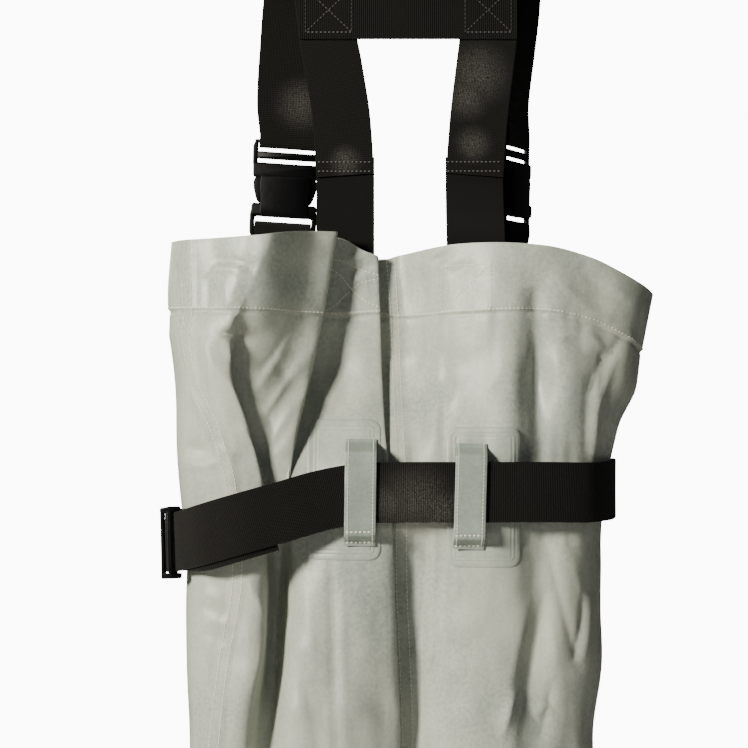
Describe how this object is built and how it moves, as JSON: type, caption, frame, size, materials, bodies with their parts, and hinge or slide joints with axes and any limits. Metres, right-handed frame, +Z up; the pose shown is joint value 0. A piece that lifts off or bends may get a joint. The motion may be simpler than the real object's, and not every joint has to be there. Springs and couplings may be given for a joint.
{
  "type": "bootfoot chest wader",
  "caption": "Chest wader of coated nylon with welded moulded boots, elastic shoulder straps with side-release buckles, and a webbing belt in sewn loops.",
  "frame": {"origin": "on the floor under the middle of the wader's bounding box", "axes": "+Z up, +Y the way the toes point, +X the wearer's right"},
  "size_m": [0.4246, 0.3088, 1.625],
  "materials": {
    "coated_nylon": "satin",
    "welded_patch": "satin",
    "loop_tape": "satin",
    "webbing": "matte",
    "elastic": "matte",
    "buckle_plastic": "gloss",
    "boot_rubber": "satin",
    "sole_rubber": "matte",
    "insole_felt": "matte"
  },
  "bodies": {
    "root": {"wader_body": "coated_nylon", "boot_upper_left": "boot_rubber", "boot_upper_right": "boot_rubber", "outsole_left": "sole_rubber", "outsole_right": "sole_rubber", "insole_left": "insole_felt", "insole_right": "insole_felt", "belt": "webbing", "belt_tail": "webbing", "belt_slide": "buckle_plastic", "belt_buckle_plug": "buckle_plastic", "belt_buckle_socket": "buckle_plastic", "loop_patch_left": "welded_patch", "loop_patch_right": "welded_patch", "belt_loop_left": "loop_tape", "belt_loop_right": "loop_tape", "back_webbing_left": "webbing", "back_webbing_right": "webbing", "shoulder_strap_left": "elastic", "shoulder_strap_right": "elastic", "front_tab_left": "webbing", "front_tab_right": "webbing", "strap_buckle_plug_left": "buckle_plastic", "strap_buckle_plug_right": "buckle_plastic", "strap_buckle_socket_left": "buckle_plastic", "strap_buckle_socket_right": "buckle_plastic", "yoke_band": "elastic"}
  },
  "joints": []
}
